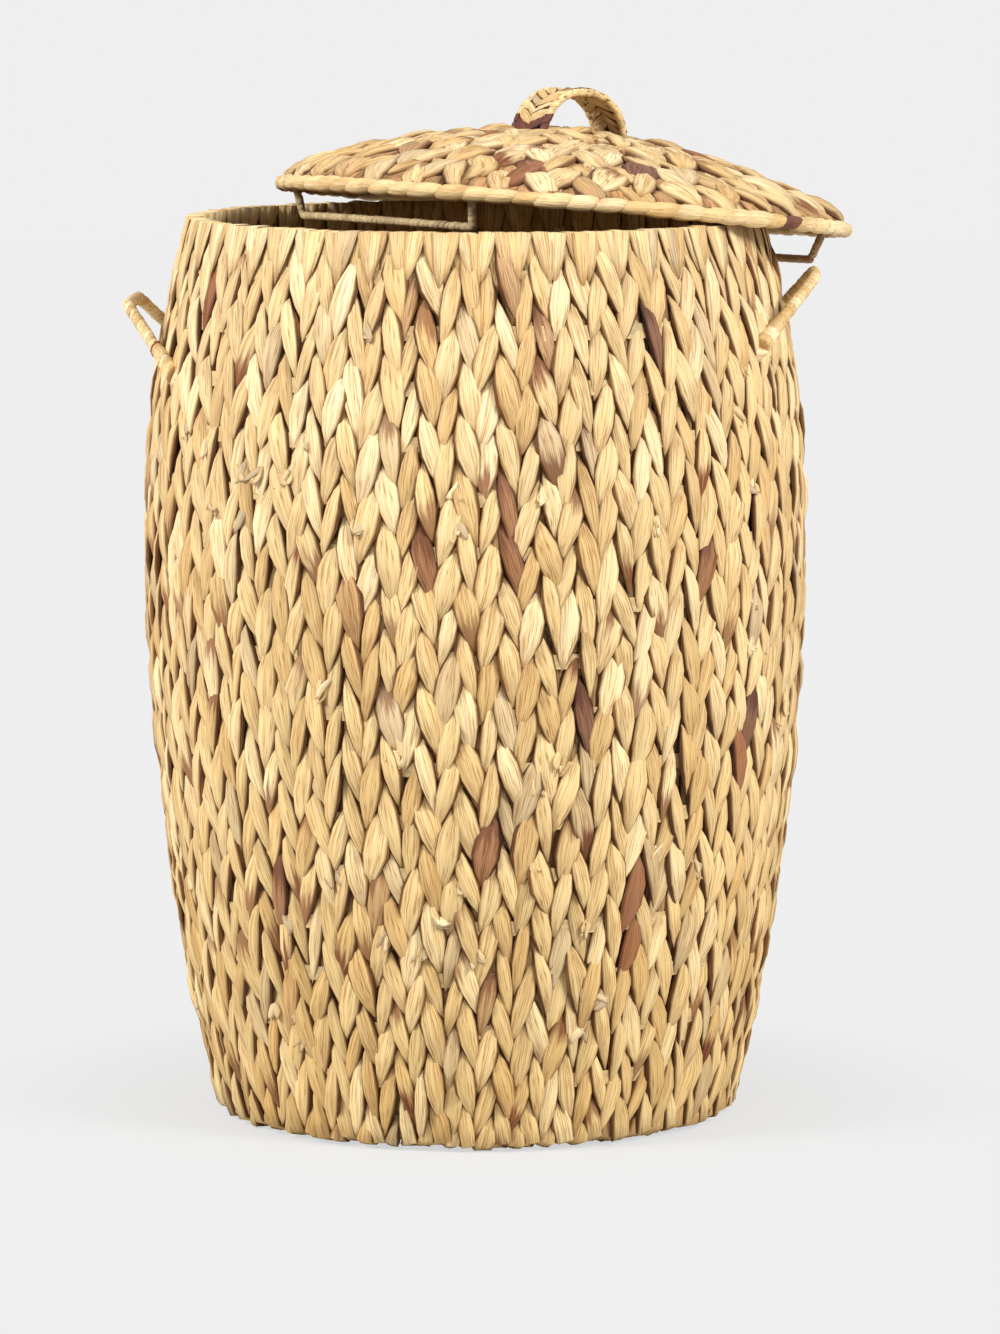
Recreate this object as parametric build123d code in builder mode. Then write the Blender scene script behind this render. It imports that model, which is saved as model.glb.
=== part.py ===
"""Woven barrel laundry basket with side handles and a loose domed lid that lies ajar on its rim.

Millimetres, +Z up. The origin is on the basket's axis at the floor, with the side handles on -X and +X.
"""

import math
import os

from build123d import *

# Barrel
body_height = 570.0  # floor to the top of the rim
belly_height = 372.0  # level of the widest part
belly_radius = 210.0
lower_side_arc = 1590.0  # radius of the side's curve below the belly
upper_side_arc = 685.0  # and above it
base_rounding = 10.0  # edge between the side and the base
base_turn_under = 22.0  # flat ring of the outer weave under the base
rim_wrap_height = 14.0

# Layers of the wall and the base
clearance = 0.3
weave_thickness = 3.5
mat_thickness = 3.5
frame_wire = 3.0  # diameter of uprights, base wires and base hoop
rim_wire = 4.5
upright_count = 6
upright_end_gap = 1.0
base_hoop_height = 24.0

# Row bands between the two weaves
row_pitch = 33.0
row_band_width = 9.0
row_band_thickness = 2.6
first_row_height = 45.0
last_row_margin = 10.0  # least distance from a band's middle to the top of the weave

# Side handles
left_handle_below_rim = 78.0  # top of the rim to where the left loop's plane meets the wall
right_handle_below_rim = 60.0
handle_slope = 50.0  # degrees above the horizontal
handle_reach = 27.0  # wall to the middle of the loop's crossbar
handle_bar = 66.0  # length of the crossbar between the middles of its corners
handle_splay = 44.0  # degrees that each leg spreads towards its foot
handle_corner = 14.0
handle_wire = 3.6
handle_wrap_thickness = 1.2
handle_seat = 3.5  # depth of the wire's end in the weave
binding_length = 21.0
binding_thickness = 2.4

# Lid
lid_overhang = 1.8  # the lid's hoop lies this far outside the middle of the basket's rim
lid_rise = 48.5  # crown above the plane of the lid's hoop
lid_edge_height = 8.0  # dome's outer face above the plane of the lid's hoop, over the hoop
lid_weave_thickness = 5.0
lid_hollow_depth = 18.0  # hollow of the underside above the plane of the lid's hoop
lid_lining_thickness = 4.0
lid_lining_inset = 20.0  # edge of the lining inside the lid's hoop
lid_rim_bead = 8.4  # diameter of the binding round the lid's edge
lid_rim_wire = 4.0
lid_crown_radius = 20.0
lid_band_shares = (0.29, 0.48, 0.67, 0.85)  # of the hoop's radius
lid_spoke_count = 4
lid_spoke_start = 28.0

# Place of the loose lid
lid_shift = 72.0  # off the basket's axis
lid_shift_angle = 43.0  # from +X towards +Y
steepest_lid_tilt = 15.0  # the tilt is looked for up to this

# Lid handle
lid_handle_span = 65.0  # between the middles of the band's feet
lid_handle_rise = 30.0  # top of the band above the crown
lid_handle_corner = 28.0
lid_handle_width = 23.0
lid_handle_thickness = 4.5
lid_handle_wire = 5.0
lid_handle_seat = 5.0

# Lid brackets
bracket_drop = 20.0  # bar below the plane of the lid's hoop
bracket_half_angle = 30.0
bracket_lean = 20.0  # degrees that the legs lean inwards
bracket_wire = 3.0
bracket_wrap_thickness = 1.0
bracket_bare_angle = 2.5  # bar left bare beside each corner, in degrees

# Derived: the layers of the wall, as depths below its outer face
band_depth = weave_thickness + clearance
upright_depth = band_depth + max(row_band_thickness, frame_wire) + clearance
inner_weave_depth = upright_depth + frame_wire + clearance
wall_thickness = inner_weave_depth + weave_thickness

# Derived: levels
wall_top = body_height - rim_wrap_height
lower_base_wire_level = weave_thickness + clearance + frame_wire / 2
upper_base_wire_level = lower_base_wire_level + frame_wire + clearance
floor_bottom = upper_base_wire_level + frame_wire / 2 + clearance
floor_top = floor_bottom + mat_thickness


def wall_radius(height):
    """Outer radius of the barrel: two arcs that meet upright at the belly."""
    arc = lower_side_arc if height <= belly_height else upper_side_arc
    return belly_radius - arc + math.sqrt(arc**2 - (height - belly_height) ** 2)


# Derived: base and rim
base_corner_radius = wall_radius(0)
base_flat_radius = base_corner_radius - base_rounding
base_opening = base_flat_radius - base_turn_under
rim_outer_radius = wall_radius(wall_top)
rim_tube = wall_thickness / 2
rim_ring_radius = rim_outer_radius - rim_tube
rim_ring_level = body_height - rim_tube

# Derived: the lid's own sizes, about its hoop's middle
lid_ring_radius = rim_ring_radius + lid_overhang
lid_bead_tube = lid_rim_bead / 2
lid_dome_drop = lid_rise - lid_edge_height
lid_dome_radius = (lid_ring_radius**2 + lid_dome_drop**2) / (2 * lid_dome_drop)
lid_dome_middle = lid_rise - lid_dome_radius
lid_lining_radius = lid_ring_radius - lid_lining_inset
lid_band_radii = [share * lid_ring_radius for share in lid_band_shares]
lid_band_depth = lid_weave_thickness + clearance
lid_spoke_end = lid_band_radii[-1] - row_band_width


def wall_points(depth, bottom, top):
    """Two sets of three points that draw the wall's curve at a depth, upwards from bottom to top."""
    lower = (bottom, (bottom + belly_height) / 2, belly_height)
    upper = (belly_height, (belly_height + top) / 2, top)
    return [[(wall_radius(z) - depth, z) for z in levels] for levels in (lower, upper)]


def dome_height(radius, depth):
    """Height over the lid's hoop of the dome's face at a depth below its outer face."""
    return lid_dome_middle + math.sqrt((lid_dome_radius - depth) ** 2 - radius**2)


def dome_points(depth, start, end):
    """Three points that draw the dome's curve at a depth, outwards from start to end."""
    return [(r, dome_height(r, depth)) for r in (start, (start + end) / 2, end)]


def bisect(is_low, low, high, steps=40):
    """The value between low and high where is_low turns false."""
    for _ in range(steps):
        middle = (low + high) / 2
        if is_low(middle):
            low = middle
        else:
            high = middle
    return (low + high) / 2


def weave_clears_bead(radius):
    """Whether a lid weave that ends at this radius stays off the binding of the lid's edge."""
    near = math.hypot(lid_ring_radius - radius, dome_height(radius, lid_weave_thickness))
    return near > lid_bead_tube + clearance


# Derived: the lid's outer weave ends on the binding, and the hollow of the underside starts there
lid_weave_edge = bisect(weave_clears_bead, lid_ring_radius - 2 * lid_rim_bead, lid_ring_radius)
lid_hollow_radius = (lid_weave_edge**2 + lid_hollow_depth**2) / (2 * lid_hollow_depth)
lid_hollow_middle = lid_hollow_depth - lid_hollow_radius


def hollow_points(lift, start, end):
    """Three points that draw the hollow's curve, raised by lift, outwards from start to end."""
    arc = lid_hollow_radius + lift
    radii = (start, (start + end) / 2, end)
    return [(r, lid_hollow_middle + math.sqrt(arc**2 - r**2)) for r in radii]


def rim_in_lid(level, tilt, steps=180):
    """Radius and height, in the lid's frame, of points along the middle of the basket's rim."""
    found = []
    for step in range(steps + 1):
        turn = math.pi * step / steps
        along = rim_ring_radius * math.cos(turn) - lid_shift
        across = rim_ring_radius * math.sin(turn)
        rise = rim_ring_level - level
        lid_x = along * math.cos(tilt) - rise * math.sin(tilt)
        lid_z = along * math.sin(tilt) + rise * math.cos(tilt)
        found.append((math.hypot(lid_x, across), lid_z))
    return found


def edge_gap(level, tilt):
    """Least gap between the binding of the lid's edge and the basket's rim."""
    near = min(math.hypot(r - lid_ring_radius, z) for r, z in rim_in_lid(level, tilt))
    return near - lid_bead_tube - rim_tube


def hollow_gap(level, tilt):
    """Least gap between the lid's hollow underside and the basket's rim."""
    under = [(r, z) for r, z in rim_in_lid(level, tilt) if r < lid_weave_edge]
    far = max(math.hypot(r, z - lid_hollow_middle) for r, z in under)
    return lid_hollow_radius - far - rim_tube


def rest_level(gap, tilt):
    """Level at which the lid, let down from above, comes within a clearance of the rim."""
    level = rim_ring_level + lid_rise + lid_rim_bead
    while gap(level - lid_bead_tube, tilt) >= clearance:
        level -= lid_bead_tube
    return bisect(lambda height: gap(height, tilt) < clearance, level - lid_bead_tube, level)


# Derived: the lid tips towards its overhanging side until edge and underside both rest on the rim
lid_tilt = bisect(
    lambda tilt: rest_level(hollow_gap, tilt) < rest_level(edge_gap, tilt),
    0.0,
    math.radians(steepest_lid_tilt),
    steps=24,
)
lid_level = rest_level(edge_gap, lid_tilt)
shift_way = Vector(1, 0, 0).rotate(Axis.Z, lid_shift_angle)
lid_up = shift_way * math.sin(lid_tilt) + Vector(0, 0, 1) * math.cos(lid_tilt)
lid_along = shift_way * math.cos(lid_tilt) - Vector(0, 0, 1) * math.sin(lid_tilt)
lid_plane = Plane(shift_way * lid_shift + Vector(0, 0, lid_level), x_dir=lid_along, z_dir=lid_up)
lid_axis = Axis(lid_plane.origin, lid_plane.z_dir)


def lid_section(turn):
    """Plane through the lid's axis, turned from its shift direction: X is outwards and Y is up."""
    outwards = lid_plane.x_dir.rotate(Axis((0, 0, 0), lid_plane.z_dir), turn)
    return Plane(lid_plane.origin, x_dir=outwards, z_dir=outwards.cross(lid_plane.z_dir))


def wall_section(turn):
    """Plane through the basket's axis, turned from +X: X is outwards and Y is up."""
    outwards = Vector(1, 0, 0).rotate(Axis.Z, turn)
    return Plane((0, 0, 0), x_dir=outwards, z_dir=outwards.cross(Vector(0, 0, 1)))


def keep(builder, label):
    """Names a finished piece and writes its file."""
    builder.part.label = label
    export_step(builder.part, f"parts/{label}.step")


os.makedirs("parts", exist_ok=True)

# Side handle planes, with X along the crossbar and Y up the legs
handle_rise = math.radians(handle_slope)
handle_wrap_radius = handle_wire / 2 + clearance + handle_wrap_thickness
handle_sides = {
    "left": (-1, body_height - left_handle_below_rim),
    "right": (1, body_height - right_handle_below_rim),
}
handle_planes = {}
for side, (sign, height) in handle_sides.items():
    legs_way = Vector(sign * math.cos(handle_rise), 0, math.sin(handle_rise))
    root = (sign * wall_radius(height), 0, height)
    handle_planes[side] = Plane(root, x_dir=(0, 1, 0), z_dir=Vector(0, 1, 0).cross(legs_way))


def leg_across(travel):
    """Distance of a handle leg's middle line from the loop's middle, this far up the loop's plane."""
    return handle_bar / 2 + (handle_reach - travel) * math.tan(math.radians(handle_splay))


def leg_is_inside(height, travel):
    """Whether a leg of the handle at a height is still inside the barrel, this far up its plane."""
    out = wall_radius(height) + travel * math.cos(handle_rise)
    level = height + travel * math.sin(handle_rise)
    return math.hypot(out, leg_across(travel)) < wall_radius(level)


def leg_end(side):
    """How far up the loop's plane the wire of a handle's legs ends, seated in the weave."""
    height = handle_sides[side][1]
    entry = bisect(lambda travel: leg_is_inside(height, travel), -2 * handle_reach, handle_reach)
    return entry - handle_seat * math.cos(math.radians(handle_splay))


def loop_corners(side):
    """Corners of a handle's middle line on its plane, from the front foot to the rear foot."""
    end = leg_end(side)
    return [
        (-leg_across(end), end),
        (-handle_bar / 2, handle_reach),
        (handle_bar / 2, handle_reach),
        (leg_across(end), end),
    ]


def leg_plane(side, sign):
    """Plane across a handle leg at its seated end, on the front (-1) or the rear (1) of the loop."""
    end = leg_end(side)
    foot = handle_planes[side].from_local_coords((sign * leg_across(end), end))
    knee = handle_planes[side].from_local_coords((sign * handle_bar / 2, handle_reach))
    return Plane(foot, z_dir=knee - foot)


# Outer weave: side, rounded edge and the ring turned under the base, with seats for the handle wires
with BuildPart() as outer_weave:
    with BuildSketch(Plane.XZ) as outer_profile:
        with BuildLine():
            lower, upper = wall_points(0, 0, wall_top)
            lower_in, upper_in = wall_points(weave_thickness, weave_thickness, wall_top)
            Line((base_opening, 0), lower[0])
            ThreePointArc(*lower)
            ThreePointArc(*upper)
            Line(upper[2], upper_in[2])
            ThreePointArc(*reversed(upper_in))
            ThreePointArc(*reversed(lower_in))
            Polyline(lower_in[0], (base_opening, weave_thickness), (base_opening, 0))
        make_face()
        fillet(outer_profile.vertices().sort_by_distance(lower[0])[0], base_rounding)
        inner_rounding = base_rounding - weave_thickness
        fillet(outer_profile.vertices().sort_by_distance(lower_in[0])[0], inner_rounding)
    revolve(axis=Axis.Z)
    for side in handle_planes:
        for sign in (-1, 1):
            with BuildSketch(leg_plane(side, sign).offset(-clearance)):
                Circle(handle_wire / 2 + clearance)
            extrude(amount=handle_reach, mode=Mode.SUBTRACT)
keep(outer_weave, "outer_weave")

# Inner weave: the lining of the side, standing on the floor mat
with BuildPart() as inner_weave:
    with BuildSketch(Plane.XZ):
        with BuildLine():
            lower, upper = wall_points(inner_weave_depth, floor_top, wall_top)
            lower_in, upper_in = wall_points(wall_thickness, floor_top, wall_top)
            ThreePointArc(*lower)
            ThreePointArc(*upper)
            Line(upper[2], upper_in[2])
            ThreePointArc(*reversed(upper_in))
            ThreePointArc(*reversed(lower_in))
            Line(lower_in[0], lower[0])
        make_face()
    revolve(axis=Axis.Z)
keep(inner_weave, "inner_weave")

# Rim wrap: strands folded over the rim hoop, on top of both weaves
with BuildPart() as rim_wrap:
    with BuildSketch(Plane.XZ):
        with BuildLine():
            outer_shoulder = (rim_outer_radius, rim_ring_level)
            inner_shoulder = (rim_outer_radius - wall_thickness, rim_ring_level)
            inner_foot = (rim_outer_radius - wall_thickness, wall_top)
            Line((rim_outer_radius, wall_top), outer_shoulder)
            ThreePointArc(outer_shoulder, (rim_ring_radius, body_height), inner_shoulder)
            Polyline(inner_shoulder, inner_foot, (rim_outer_radius, wall_top))
        make_face()
        with Locations((rim_ring_radius, rim_ring_level)):
            Circle(rim_wire / 2 + clearance, mode=Mode.SUBTRACT)
    revolve(axis=Axis.Z)
keep(rim_wrap, "rim_wrap")

# Rim hoop
with BuildPart() as rim_hoop:
    with BuildSketch(Plane.XZ):
        with Locations((rim_ring_radius, rim_ring_level)):
            Circle(rim_wire / 2)
    revolve(axis=Axis.Z)
keep(rim_hoop, "rim_hoop")

# Base hoop, in the layer of the row bands
with BuildPart() as base_hoop:
    with BuildSketch(Plane.XZ):
        with Locations((wall_radius(base_hoop_height) - band_depth - frame_wire / 2, base_hoop_height)):
            Circle(frame_wire / 2)
    revolve(axis=Axis.Z)
keep(base_hoop, "base_hoop")

# Row bands: flat strips round the wall, one to a row of stitches
row_count = int((wall_top - last_row_margin - first_row_height) / row_pitch) + 1
for row in range(row_count):
    low = first_row_height + row * row_pitch - row_band_width / 2
    high = low + row_band_width
    with BuildPart() as row_band:
        with BuildSketch(Plane.XZ):
            with BuildLine():
                Polyline(
                    (wall_radius(low) - band_depth, low),
                    (wall_radius(high) - band_depth, high),
                    (wall_radius(high) - band_depth - row_band_thickness, high),
                    (wall_radius(low) - band_depth - row_band_thickness, low),
                    close=True,
                )
            make_face()
        revolve(axis=Axis.Z)
    keep(row_band, f"row_band_{row + 1:02d}")

# Uprights: frame wires from the floor to the rim, inside the row bands
for number in range(upright_count):
    with BuildPart() as upright:
        with BuildLine(wall_section(360 * (number + 0.5) / upright_count)) as upright_path:
            middle_depth = upright_depth + frame_wire / 2
            lower, upper = wall_points(middle_depth, floor_top, wall_top - upright_end_gap)
            ThreePointArc(*lower)
            ThreePointArc(*upper)
        with BuildSketch(upright_path.line ^ 0):
            Circle(frame_wire / 2)
        sweep(path=upright_path.line)
    keep(upright, f"upright_{number + 1}")

# Base wires: two crossed wires between the mats
base_wires = (
    ("base_wire_across", Plane.YZ, lower_base_wire_level),
    ("base_wire_along", Plane.XZ, upper_base_wire_level),
)
for label, plane, level in base_wires:
    with BuildPart() as base_wire:
        with BuildSketch(plane):
            with Locations((0, level)):
                Circle(frame_wire / 2)
        extrude(amount=base_flat_radius, both=True)
    keep(base_wire, label)

# Base mat, level with the outer weave's turned-under ring
with BuildPart() as base_mat:
    with BuildSketch(Plane.XY):
        Circle(base_opening - clearance)
    extrude(amount=weave_thickness)
keep(base_mat, "base_mat")

# Floor mat inside the basket, which carries the inner weave
with BuildPart() as floor_mat:
    with BuildSketch(Plane.XY.offset(floor_bottom)):
        Circle(wall_radius(floor_top) - inner_weave_depth)
    extrude(amount=mat_thickness)
keep(floor_mat, "floor_mat")

# The barrel's outer face and a clearance, which trims what stands on the wall
with BuildPart() as wall_envelope:
    with BuildSketch(Plane.XZ):
        with BuildLine():
            lower, upper = wall_points(-clearance, 0, wall_top)
            ThreePointArc(*lower)
            ThreePointArc(*upper)
            Polyline(upper[2], (0, wall_top), (0, 0), lower[0])
        make_face()
    revolve(axis=Axis.Z)

# Side handles: bent wire, wound wrap and two thick foot bindings
for side, plane in handle_planes.items():
    with BuildPart() as handle_core:
        with BuildLine(plane) as loop:
            FilletPolyline(*loop_corners(side), radius=handle_corner)
        with BuildSketch(loop.line ^ 0):
            Circle(handle_wire / 2)
        sweep(path=loop.line)
    keep(handle_core, f"{side}_handle_core")

    with BuildPart() as handle_wrap:
        with BuildLine(plane) as loop:
            FilletPolyline(*loop_corners(side), radius=handle_corner)
        with BuildSketch(loop.line ^ 0):
            Circle(handle_wrap_radius)
            Circle(handle_wire / 2 + clearance, mode=Mode.SUBTRACT)
        sweep(path=loop.line)
        add(wall_envelope.part, mode=Mode.SUBTRACT)
    keep(handle_wrap, f"{side}_handle_wrap")

    for end, sign in (("front", -1), ("rear", 1)):
        with BuildPart() as binding:
            with BuildSketch(leg_plane(side, sign)):
                Circle(handle_wrap_radius + clearance + binding_thickness)
                Circle(handle_wrap_radius + clearance, mode=Mode.SUBTRACT)
            extrude(amount=handle_seat + binding_length)
            add(wall_envelope.part, mode=Mode.SUBTRACT)
        keep(binding, f"{side}_{end}_binding")

# Lid rim wrap and the hoop inside it
with BuildPart() as lid_rim_wrap:
    with BuildSketch(lid_section(0)):
        with Locations((lid_ring_radius, 0)):
            Circle(lid_bead_tube)
            Circle(lid_rim_wire / 2 + clearance, mode=Mode.SUBTRACT)
    revolve(axis=lid_axis)
keep(lid_rim_wrap, "lid_rim_wrap")

with BuildPart() as lid_rim_hoop:
    with BuildSketch(lid_section(0)):
        with Locations((lid_ring_radius, 0)):
            Circle(lid_rim_wire / 2)
    revolve(axis=lid_axis)
keep(lid_rim_hoop, "lid_rim_hoop")

# Lid handle: feet along the shift direction, with an edge wire on each side of the band
handle_foot = lid_handle_span / 2
handle_foot_level = dome_height(handle_foot - lid_handle_thickness / 2, 0) + clearance
handle_top = lid_rise + lid_handle_rise
handle_wire_across = lid_handle_width / 2 + clearance + lid_handle_wire / 2
handle_wire_radius = math.hypot(handle_foot, handle_wire_across)
handle_wire_end = dome_height(handle_wire_radius, 0) - lid_handle_seat
handle_wire_top = handle_top - lid_handle_thickness / 2


def arch(half_span, foot, top):
    """Corners of an upright arch."""
    return [(-half_span, foot), (-half_span, top), (half_span, top), (half_span, foot)]


# Lid outer weave: a dome with a hole for the crown and seats for the handle wires
with BuildPart() as lid_outer_weave:
    with BuildSketch(lid_section(0)):
        with BuildLine():
            hole = lid_crown_radius + clearance
            face = dome_points(0, hole, lid_weave_edge)
            back = dome_points(lid_weave_thickness, hole, lid_weave_edge)
            ThreePointArc(*face)
            Line(face[2], back[2])
            ThreePointArc(*reversed(back))
            Line(back[0], face[0])
        make_face()
    revolve(axis=lid_axis)
    with BuildSketch(lid_plane.offset(handle_wire_end - clearance)):
        with GridLocations(lid_handle_span, 2 * handle_wire_across, 2, 2):
            Circle(lid_handle_wire / 2 + clearance)
    extrude(amount=lid_rise, mode=Mode.SUBTRACT)
keep(lid_outer_weave, "lid_outer_weave")

# Lid crown: the rosette where the strands meet
with BuildPart() as lid_crown:
    with BuildSketch(lid_section(0)):
        with BuildLine():
            face = dome_points(0, 0, lid_crown_radius)
            back = dome_points(lid_weave_thickness, 0, lid_crown_radius)
            ThreePointArc(*face)
            Line(face[2], back[2])
            ThreePointArc(*reversed(back))
            Line(back[0], face[0])
        make_face()
    revolve(axis=lid_axis)
keep(lid_crown, "lid_crown")

# Lid inner weave: the lining of the hollow underside
with BuildPart() as lid_inner_weave:
    with BuildSketch(lid_section(0)):
        with BuildLine():
            face = hollow_points(0, 0, lid_lining_radius)
            back = hollow_points(lid_lining_thickness, 0, lid_lining_radius)
            ThreePointArc(*face)
            Line(face[2], back[2])
            ThreePointArc(*reversed(back))
            Line(back[0], face[0])
        make_face()
    revolve(axis=lid_axis)
keep(lid_inner_weave, "lid_inner_weave")

# Lid bands: flat rings under the outer weave
for number, middle in enumerate(lid_band_radii, 1):
    start = middle - row_band_width / 2
    end = middle + row_band_width / 2
    under = lid_band_depth + row_band_thickness
    with BuildPart() as lid_band:
        with BuildSketch(lid_section(0)):
            with BuildLine():
                face = dome_points(lid_band_depth, start, end)
                back = dome_points(under, start, end)
                ThreePointArc(*face)
                Line(face[2], back[2])
                ThreePointArc(*reversed(back))
                Line(back[0], face[0])
            make_face()
        revolve(axis=lid_axis)
    keep(lid_band, f"lid_band_{number}")

# Lid spokes: wires from the crown towards the edge, on the lining
for number in range(lid_spoke_count):
    with BuildPart() as lid_spoke:
        with BuildLine(lid_section(360 * (number + 0.5) / lid_spoke_count)) as spoke_path:
            lift = lid_lining_thickness + clearance + frame_wire / 2
            ThreePointArc(*hollow_points(lift, lid_spoke_start, lid_spoke_end))
        with BuildSketch(spoke_path.line ^ 0):
            Circle(frame_wire / 2)
        sweep(path=spoke_path.line)
    keep(lid_spoke, f"lid_spoke_{number + 1}")

# Lid handle band
with BuildPart() as lid_handle_band:
    with BuildSketch(lid_section(0)):
        with BuildLine():
            half = lid_handle_thickness / 2
            outside = arch(handle_foot + half, handle_foot_level, handle_top)
            inside = arch(handle_foot - half, handle_foot_level, handle_top - lid_handle_thickness)
            FilletPolyline(*outside, radius=lid_handle_corner + half)
            FilletPolyline(*inside, radius=lid_handle_corner - half)
            Line(outside[0], inside[0])
            Line(outside[3], inside[3])
        make_face()
    extrude(amount=lid_handle_width / 2, both=True)
keep(lid_handle_band, "lid_handle_band")

# Lid handle edge wires, seated in the outer weave
for label, across in (("front", handle_wire_across), ("rear", -handle_wire_across)):
    with BuildPart() as lid_handle_edge:
        with BuildLine(lid_section(0).offset(across)) as edge_path:
            FilletPolyline(*arch(handle_foot, handle_wire_end, handle_wire_top), radius=lid_handle_corner)
        with BuildSketch(edge_path.line ^ 0):
            Circle(lid_handle_wire / 2)
        sweep(path=edge_path.line)
    keep(lid_handle_edge, f"lid_handle_{label}_wire")

# Lid brackets: wire bows under the lid, one on each end of its shift direction
bracket_leg_radius = lid_weave_edge - bracket_wire
bracket_leg_top = dome_height(bracket_leg_radius, lid_weave_thickness) - clearance
bracket_lean_run = (bracket_leg_top + bracket_drop) * math.tan(math.radians(bracket_lean))
bracket_radius = bracket_leg_radius - bracket_lean_run
for label, middle in (("near", 180), ("far", 0)):
    with BuildPart() as bracket_core:
        with BuildSketch(lid_section(middle - bracket_half_angle)):
            with Locations((bracket_radius, -bracket_drop)):
                Circle(bracket_wire / 2)
        revolve(axis=lid_axis, revolution_arc=2 * bracket_half_angle)
        for turn in (middle - bracket_half_angle, middle + bracket_half_angle):
            section = lid_section(turn)
            corner = section.from_local_coords((bracket_radius, -bracket_drop))
            leg_top = section.from_local_coords((bracket_leg_radius, bracket_leg_top))
            with BuildSketch(Plane(corner, z_dir=leg_top - corner)):
                Circle(bracket_wire / 2)
            extrude(amount=(leg_top - corner).length)
            with Locations(corner):
                Sphere(bracket_wire / 2)
    keep(bracket_core, f"lid_{label}_bracket_core")

    wrapped = bracket_half_angle - bracket_bare_angle
    with BuildPart() as bracket_wrap:
        with BuildSketch(lid_section(middle - wrapped)):
            with Locations((bracket_radius, -bracket_drop)):
                Circle(bracket_wire / 2 + clearance + bracket_wrap_thickness)
                Circle(bracket_wire / 2 + clearance, mode=Mode.SUBTRACT)
        revolve(axis=lid_axis, revolution_arc=2 * wrapped)
    keep(bracket_wrap, f"lid_{label}_bracket_wrap")

print(f"lid tilt {math.degrees(lid_tilt):.2f} degrees, middle of its hoop at {lid_level:.2f}")
print(f"{row_count} row bands")
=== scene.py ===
"""Barrel laundry basket woven from dried water hyacinth, with a loose domed lid that lies ajar.

Every piece is made in metres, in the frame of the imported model, and rides on its basket or its lid.
"""

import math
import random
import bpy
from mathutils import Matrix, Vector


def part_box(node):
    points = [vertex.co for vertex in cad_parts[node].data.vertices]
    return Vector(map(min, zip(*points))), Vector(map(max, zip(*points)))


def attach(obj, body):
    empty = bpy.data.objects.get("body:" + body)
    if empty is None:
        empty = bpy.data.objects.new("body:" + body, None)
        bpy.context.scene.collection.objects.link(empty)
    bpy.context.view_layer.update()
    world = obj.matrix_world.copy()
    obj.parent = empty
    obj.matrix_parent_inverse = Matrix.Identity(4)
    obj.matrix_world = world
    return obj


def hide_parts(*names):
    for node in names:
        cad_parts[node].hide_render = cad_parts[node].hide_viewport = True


bl_info = {
    "name": "Woven Laundry Basket",
    "version": (1, 0, 0),
    "blender": (4, 5, 0),
    "location": "3D View > Sidebar > Basket",
    "description": "Weaves a barrel basket of dried water hyacinth and its lid over the packed frame",
    "category": "Object",
}

import bmesh
import bpy
import numpy
from bpy.props import FloatProperty, FloatVectorProperty, IntProperty, PointerProperty
from mathutils import Vector

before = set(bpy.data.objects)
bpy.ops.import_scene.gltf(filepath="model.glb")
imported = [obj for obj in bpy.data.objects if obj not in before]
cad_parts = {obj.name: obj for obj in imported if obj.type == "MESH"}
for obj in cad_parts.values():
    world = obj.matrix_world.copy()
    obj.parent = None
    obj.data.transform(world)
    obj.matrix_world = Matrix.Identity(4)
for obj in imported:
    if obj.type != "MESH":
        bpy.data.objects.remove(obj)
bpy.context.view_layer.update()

GRAIN_MAP = "grain"
FIBRE_COLOUR = "fibre_colour"
FIBRE = "Dried hyacinth"
LID_FIBRE = "Dried hyacinth on the lid"
WOUND_FIBRE = "Wound hyacinth strip"
STRIP = "Split stem band"
WIRE = "Dark frame wire"

WALL_FLOOR_GAP = 0.0004  # lowest level of the wall's stems
MAT_FLOOR_GAP = 0.0003  # lowest level of the mats' stems
SMALLEST_RING = 0.012  # least radius at which a width is turned into an angle
LID_EDGE_INSET = 0.0015  # the lid's weave ends this far inside the middle of its hoop
LID_TIP_DROP = 0.003  # how far the outer tips of the lid's stems bend down
GRAIN_SHIFTS = 997  # different shifts of the grain, so that no two stems look alike

# Plain forms of the stems: sides, rings, taper, fullness, depth of the back, squareness of the section
FORMS = {
    "stem_form": (8, 7, 1.65, 0.98, 0.5, 0.8),
    "loop_form": (6, 9, 2.6, 0.9, 0.5, 0.8),
    "backing_form": (6, 6, 2.2, 0.8, 0.5, 0.8),
    "turn_form": (8, 6, 6.0, 0.42, 1.0, 0.8),
    "lid_stem_form": (8, 7, 2.2, 0.85, 0.5, 1.0),
    "bead_form": (8, 7, 3.0, 0.5, 1.0, 0.8),
}

# Stems that stand out by their colour, by row and by place round the wall
MARKED_STEMS = {
    (0, 77): "tan", (1, 84): "tan", (1, 90): "maroon", (3, 86): "grey_beige", (4, 82): "russet",
    (5, 78): "russet", (5, 82): "russet", (5, 93): "russet", (8, 76): "grey_beige", (8, 86): "maroon",
    (8, 97): "maroon", (10, 81): "russet", (11, 69): "russet", (11, 75): "tan", (13, 81): "tan",
}


def length(name, description, default):
    """A size in metres."""
    return FloatProperty(name=name, description=description, default=default, unit="LENGTH", precision=4)


def angle(name, description, degrees):
    """An angle, given in degrees."""
    return FloatProperty(name=name, description=description, default=math.radians(degrees), unit="ROTATION")


def number(name, description, default):
    """A plain factor."""
    return FloatProperty(name=name, description=description, default=default)


def count(name, description, default):
    """A whole number of pieces."""
    return IntProperty(name=name, description=description, default=default, min=1)


def colour(name, description, default):
    """A scene-linear colour."""
    return FloatVectorProperty(
        name=name, description=description, default=default, subtype="COLOR", min=0, max=1,
    )


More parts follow.
